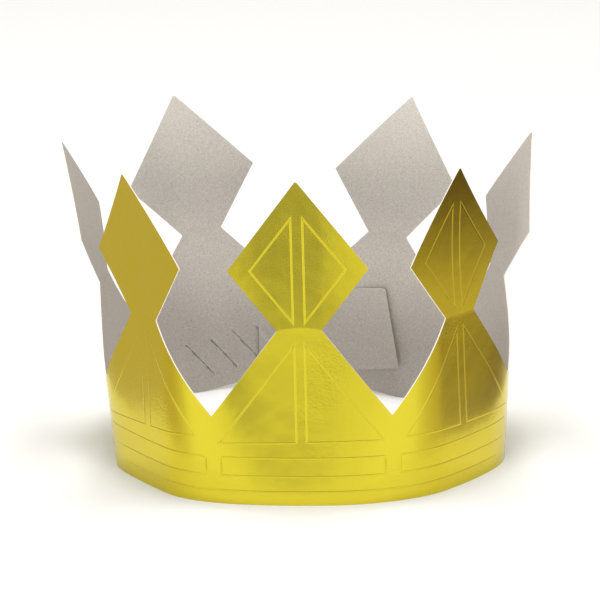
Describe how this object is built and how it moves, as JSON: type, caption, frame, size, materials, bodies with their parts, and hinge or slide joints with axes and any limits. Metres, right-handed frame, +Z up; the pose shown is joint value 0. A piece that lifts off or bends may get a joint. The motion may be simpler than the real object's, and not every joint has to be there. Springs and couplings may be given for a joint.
{
  "type": "paper crown",
  "caption": "Ring of foil-faced board with pointed diamonds on narrow necks, closed at the back by a tab through a slit.",
  "frame": {"origin": "centre of the bounding box, at the level of the lower edge that rests on the table", "axes": "+Z up, -Y towards the crown's front point, +Y towards the overlap at the back"},
  "size_m": [0.223, 0.194, 0.1486],
  "materials": {
    "foil_board": "glossy"
  },
  "bodies": {
    "root": {"crown": "foil_board"}
  },
  "joints": []
}
